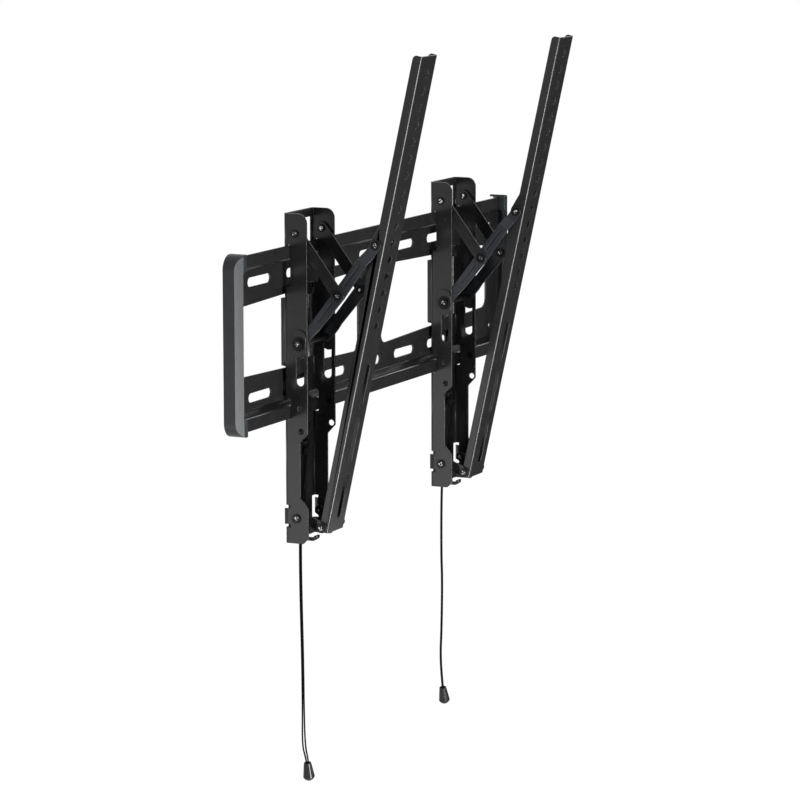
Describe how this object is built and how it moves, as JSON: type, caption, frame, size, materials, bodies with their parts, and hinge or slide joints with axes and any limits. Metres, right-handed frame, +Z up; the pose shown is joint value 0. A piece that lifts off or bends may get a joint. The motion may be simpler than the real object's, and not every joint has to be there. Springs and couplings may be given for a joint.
{
  "type": "tilting tv wall bracket",
  "caption": "Wall plate with long windows and slots, uprights hooked onto it, and upright TV rails that tilt on scissor links, with cord-pulled latches.",
  "frame": {"origin": "centre of the wall plate's back face, on the wall", "axes": "+Z up, +X along the wall to the right as seen from the room, +Y into the wall"},
  "size_m": [0.7532, 0.1744, 0.8646],
  "materials": {
    "black_steel": "satin black powder coat",
    "arm_steel": "satin blue-grey coat",
    "screw_steel": "black zinc, bright in the recess",
    "cap_plastic": "dark grey moulded",
    "cord_braid": "black braid",
    "toggle_plastic": "black moulded"
  },
  "bodies": {
    "wall": {"wall_plate": "black_steel", "end_cap_left": "cap_plastic", "end_cap_right": "cap_plastic"},
    "upright_left": {"upright_left": "black_steel", "link_rivets_left": "screw_steel", "foot_pins_left": "screw_steel", "latch_guides_left": "screw_steel"},
    "lower_link_left": {"lower_link_left": "black_steel"},
    "tv_rail_left": {"tv_rail_left": "black_steel", "rail_screws_left": "screw_steel"},
    "long_arm_left": {"arm_outer_left": "arm_steel", "arm_inner_left": "arm_steel", "slide_rod_left": "screw_steel", "slide_washer_left": "screw_steel", "clamp_screw_left": "screw_steel"},
    "friction_plate_left": {"friction_plate_outer_left": "black_steel", "friction_plate_inner_left": "black_steel"},
    "short_link_left": {"short_link_outer_left": "black_steel", "short_link_inner_left": "black_steel", "scissor_pins_left": "screw_steel"},
    "latch_left": {"latch_left": "black_steel", "cord_front_left": "cord_braid", "cord_rear_left": "cord_braid", "cord_loop_left": "cord_braid", "cord_knot_left": "cord_braid", "cord_toggle_left": "toggle_plastic"},
    "upright_right": {"upright_right": "black_steel", "link_rivets_right": "screw_steel", "foot_pins_right": "screw_steel", "latch_guides_right": "screw_steel"},
    "lower_link_right": {"lower_link_right": "black_steel"},
    "tv_rail_right": {"tv_rail_right": "black_steel", "rail_screws_right": "screw_steel"},
    "long_arm_right": {"arm_outer_right": "arm_steel", "arm_inner_right": "arm_steel", "slide_rod_right": "screw_steel", "slide_washer_right": "screw_steel", "clamp_screw_right": "screw_steel"},
    "friction_plate_right": {"friction_plate_outer_right": "black_steel", "friction_plate_inner_right": "black_steel"},
    "short_link_right": {"short_link_outer_right": "black_steel", "short_link_inner_right": "black_steel", "scissor_pins_right": "screw_steel"},
    "latch_right": {"latch_right": "black_steel", "cord_front_right": "cord_braid", "cord_rear_right": "cord_braid", "cord_loop_right": "cord_braid", "cord_knot_right": "cord_braid", "cord_toggle_right": "toggle_plastic"}
  },
  "joints": [
    {"name": "upright_slide_left", "type": "slide", "parent": "wall", "child": "upright_left", "axis": [1, 0, 0], "range_m": [-0.08, 0.115]},
    {"name": "lower_link_turn_left", "type": "hinge", "parent": "upright_left", "child": "lower_link_left", "pos_m": [-0.2, -0.0198, -0.2184], "axis": [1, 0, 0], "range_deg": [0, 26.1]},
    {"name": "rail_tilt_left", "type": "hinge", "parent": "lower_link_left", "child": "tv_rail_left", "pos_m": [-0.2, -0.0456, -0.2298], "axis": [1, 0, 0], "range_deg": [-38.44, 0]},
    {"name": "long_arm_turn_left", "type": "hinge", "parent": "tv_rail_left", "child": "long_arm_left", "pos_m": [-0.2, -0.1167, 0.1045], "axis": [1, 0, 0], "range_deg": [-22.2, 0]},
    {"name": "friction_plate_turn_left", "type": "hinge", "parent": "long_arm_left", "child": "friction_plate_left", "pos_m": [-0.2, -0.0251, -0.013], "axis": [1, 0, 0], "range_deg": [0, 34.6]},
    {"name": "short_link_turn_left", "type": "hinge", "parent": "upright_left", "child": "short_link_left", "pos_m": [-0.2, -0.0202, 0.1146], "axis": [1, 0, 0], "range_deg": [0, 29.3]},
    {"name": "latch_pull_left", "type": "slide", "parent": "upright_left", "child": "latch_left", "axis": [0, 0, -1], "range_m": [0, 0.008], "stiffness_N_per_m": 400, "springref_m": -0.01},
    {"name": "upright_slide_right", "type": "slide", "parent": "wall", "child": "upright_right", "axis": [1, 0, 0], "range_m": [-0.115, 0.08]},
    {"name": "lower_link_turn_right", "type": "hinge", "parent": "upright_right", "child": "lower_link_right", "pos_m": [0.2, -0.0198, -0.2184], "axis": [1, 0, 0], "range_deg": [0, 26.1]},
    {"name": "rail_tilt_right", "type": "hinge", "parent": "lower_link_right", "child": "tv_rail_right", "pos_m": [0.2, -0.0456, -0.2298], "axis": [1, 0, 0], "range_deg": [-38.44, 0]},
    {"name": "long_arm_turn_right", "type": "hinge", "parent": "tv_rail_right", "child": "long_arm_right", "pos_m": [0.2, -0.1167, 0.1045], "axis": [1, 0, 0], "range_deg": [-22.2, 0]},
    {"name": "friction_plate_turn_right", "type": "hinge", "parent": "long_arm_right", "child": "friction_plate_right", "pos_m": [0.2, -0.0251, -0.013], "axis": [1, 0, 0], "range_deg": [0, 34.6]},
    {"name": "short_link_turn_right", "type": "hinge", "parent": "upright_right", "child": "short_link_right", "pos_m": [0.2, -0.0202, 0.1146], "axis": [1, 0, 0], "range_deg": [0, 29.3]},
    {"name": "latch_pull_right", "type": "slide", "parent": "upright_right", "child": "latch_right", "axis": [0, 0, -1], "range_m": [0, 0.008], "stiffness_N_per_m": 400, "springref_m": -0.01}
  ],
  "couplings": [
    {"joint": "lower_link_turn_left", "follows": "rail_tilt_left", "ratio": -0.67742},
    {"joint": "long_arm_turn_left", "follows": "rail_tilt_left", "ratio": 0.57521},
    {"joint": "friction_plate_turn_left", "follows": "rail_tilt_left", "ratio": -0.89779},
    {"joint": "short_link_turn_left", "follows": "rail_tilt_left", "ratio": -0.76089},
    {"joint": "lower_link_turn_right", "follows": "rail_tilt_right", "ratio": -0.67742},
    {"joint": "long_arm_turn_right", "follows": "rail_tilt_right", "ratio": 0.57521},
    {"joint": "friction_plate_turn_right", "follows": "rail_tilt_right", "ratio": -0.89779},
    {"joint": "short_link_turn_right", "follows": "rail_tilt_right", "ratio": -0.76089}
  ]
}
